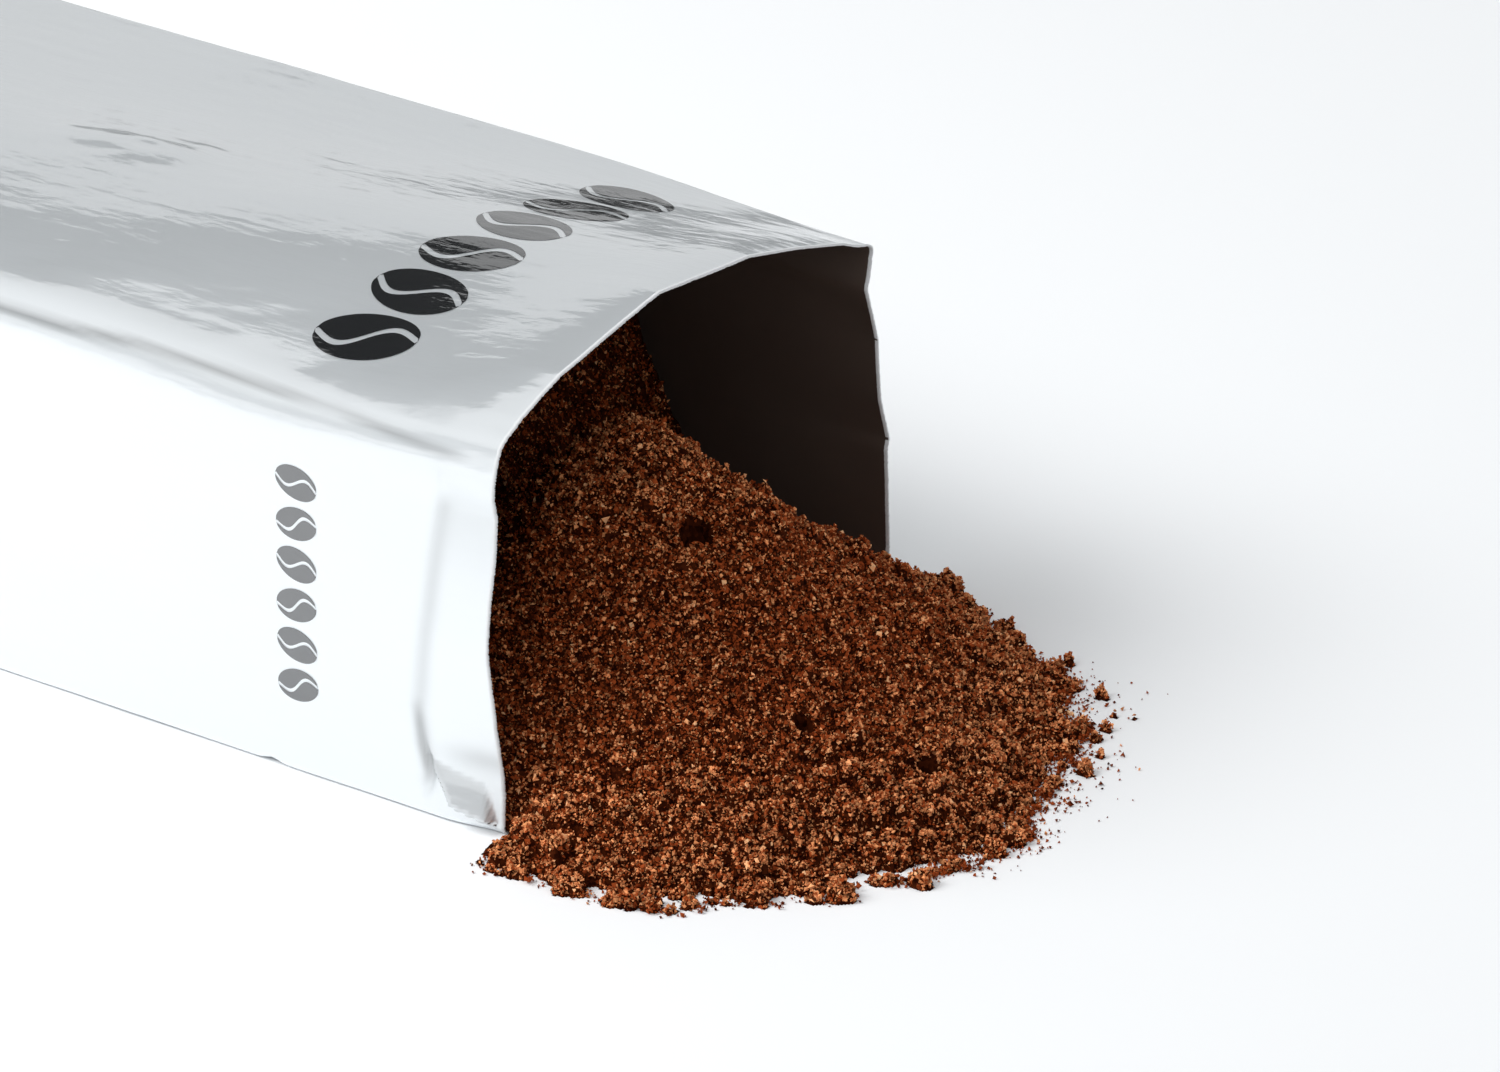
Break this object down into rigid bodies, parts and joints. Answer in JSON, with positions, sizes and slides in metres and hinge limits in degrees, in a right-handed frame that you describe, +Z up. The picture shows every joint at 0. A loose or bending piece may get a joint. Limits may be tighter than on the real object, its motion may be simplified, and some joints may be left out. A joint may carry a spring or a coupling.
{
  "type": "opened bag of ground coffee",
  "caption": "Brick-shaped foil bag lying on its large face, cut open at one end, with ground coffee filling it and spilling from the mouth in a heap.",
  "frame": {"origin": "on the supporting surface, under the middle of the box round the bag and its spilt coffee", "axes": "+X along the bag towards its cut mouth and the spilt coffee, +Y towards the bag's far long side, +Z up"},
  "size_m": [0.2052, 0.0966, 0.0624],
  "materials": {
    "foil": "satin metallised film, dark brown inside",
    "coffee": "dry ground coffee, matt"
  },
  "bodies": {
    "root": {"foil_bag": "foil", "ground_coffee": "coffee"}
  },
  "joints": []
}
